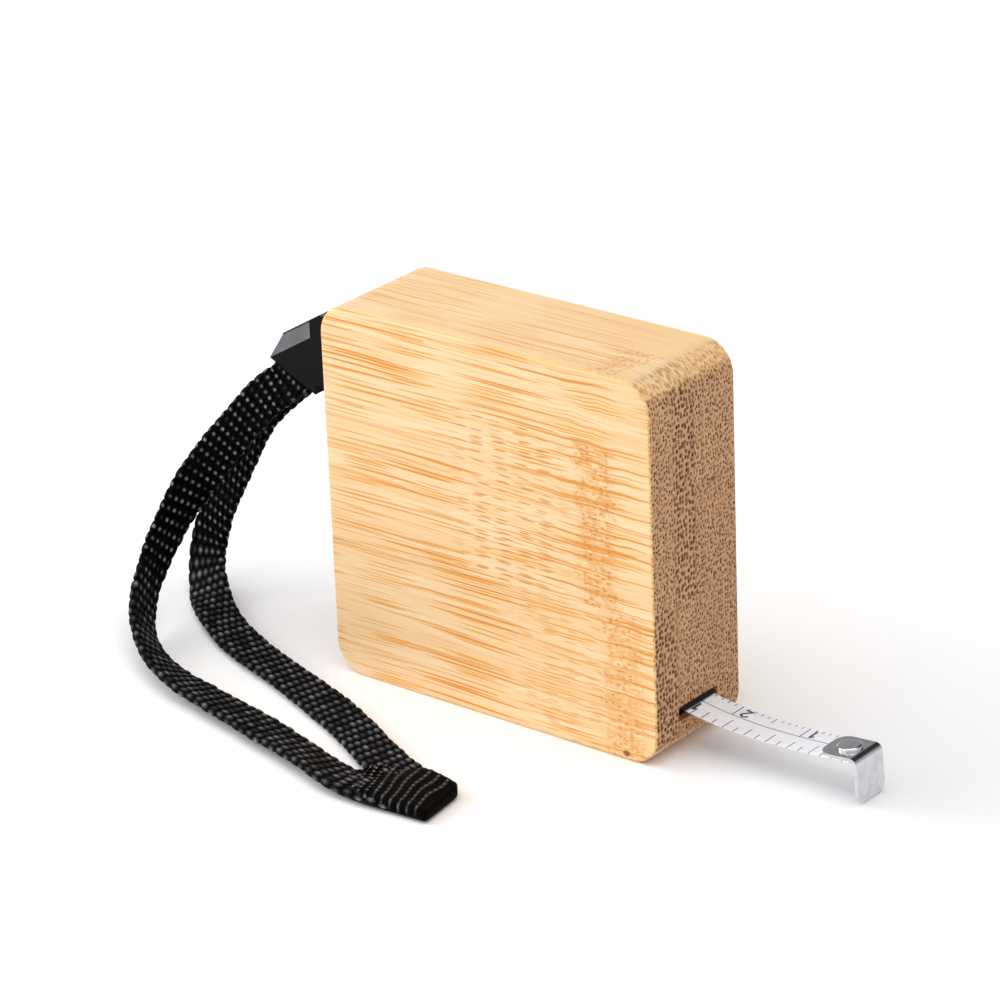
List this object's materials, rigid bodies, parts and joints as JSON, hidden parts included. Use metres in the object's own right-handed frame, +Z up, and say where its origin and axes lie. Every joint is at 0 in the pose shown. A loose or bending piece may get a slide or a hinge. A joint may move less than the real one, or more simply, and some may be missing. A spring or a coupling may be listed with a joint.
{
  "type": "tape measure",
  "caption": "Pocket spring tape measure in a square two-part bamboo block, with a steel blade, bent end hook and woven wrist strap on a plastic lug.",
  "frame": {"origin": "centre of the bamboo block's base, on the surface it stands on", "axes": "+X towards the blade's mouth, -Y the front face, +Z up"},
  "size_m": [0.1088, 0.045, 0.0503],
  "materials": {
    "bamboo": "satin, fine straight grain",
    "dowel_wood": "raw",
    "housing_plastic": "moulded black",
    "reel_plastic": "moulded natural",
    "lug_plastic": "fine spark-eroded black",
    "blade_paint": "white lacquer with black scale",
    "hook_steel": "plated, lightly brushed",
    "spring_steel": "blued strip",
    "screw_steel": "zinc plated",
    "post_brass": "turned",
    "strap_webbing": "woven flat polyester cord"
  },
  "bodies": {
    "case": {"front_shell": "bamboo", "rear_shell": "bamboo", "shell_dowels": "dowel_wood", "housing_body": "housing_plastic", "housing_cover": "housing_plastic", "housing_screws": "screw_steel", "centre_screw": "screw_steel", "centre_post": "post_brass", "strap_lug": "lug_plastic", "lug_pin": "screw_steel", "strap_fold": "strap_webbing", "strap_front": "strap_webbing", "strap_back": "strap_webbing", "strap_weld": "strap_webbing"},
    "reel": {"reel_drum": "reel_plastic", "reel_cover": "reel_plastic", "power_spring": "spring_steel", "wound_blade": "blade_paint"},
    "blade": {"blade": "blade_paint", "end_hook": "hook_steel", "hook_rivet": "hook_steel"}
  },
  "joints": [
    {"name": "blade_slide", "type": "slide", "parent": "case", "child": "blade", "axis": [0.9999, 0, 0.0162], "range_m": [-0.0247, 0.97], "stiffness_N_per_m": 1, "springref_m": -0.0247, "deforming": ["blade"]},
    {"name": "reel_turn", "type": "hinge", "parent": "case", "child": "reel", "pos_m": [0, 0, 0.02515], "axis": [0, -1, 0], "range_deg": [-119, 4660], "deforming": ["power_spring"]}
  ],
  "couplings": [
    {"joint": "reel_turn", "follows": "blade_slide", "rad_per_m": 83.682}
  ]
}
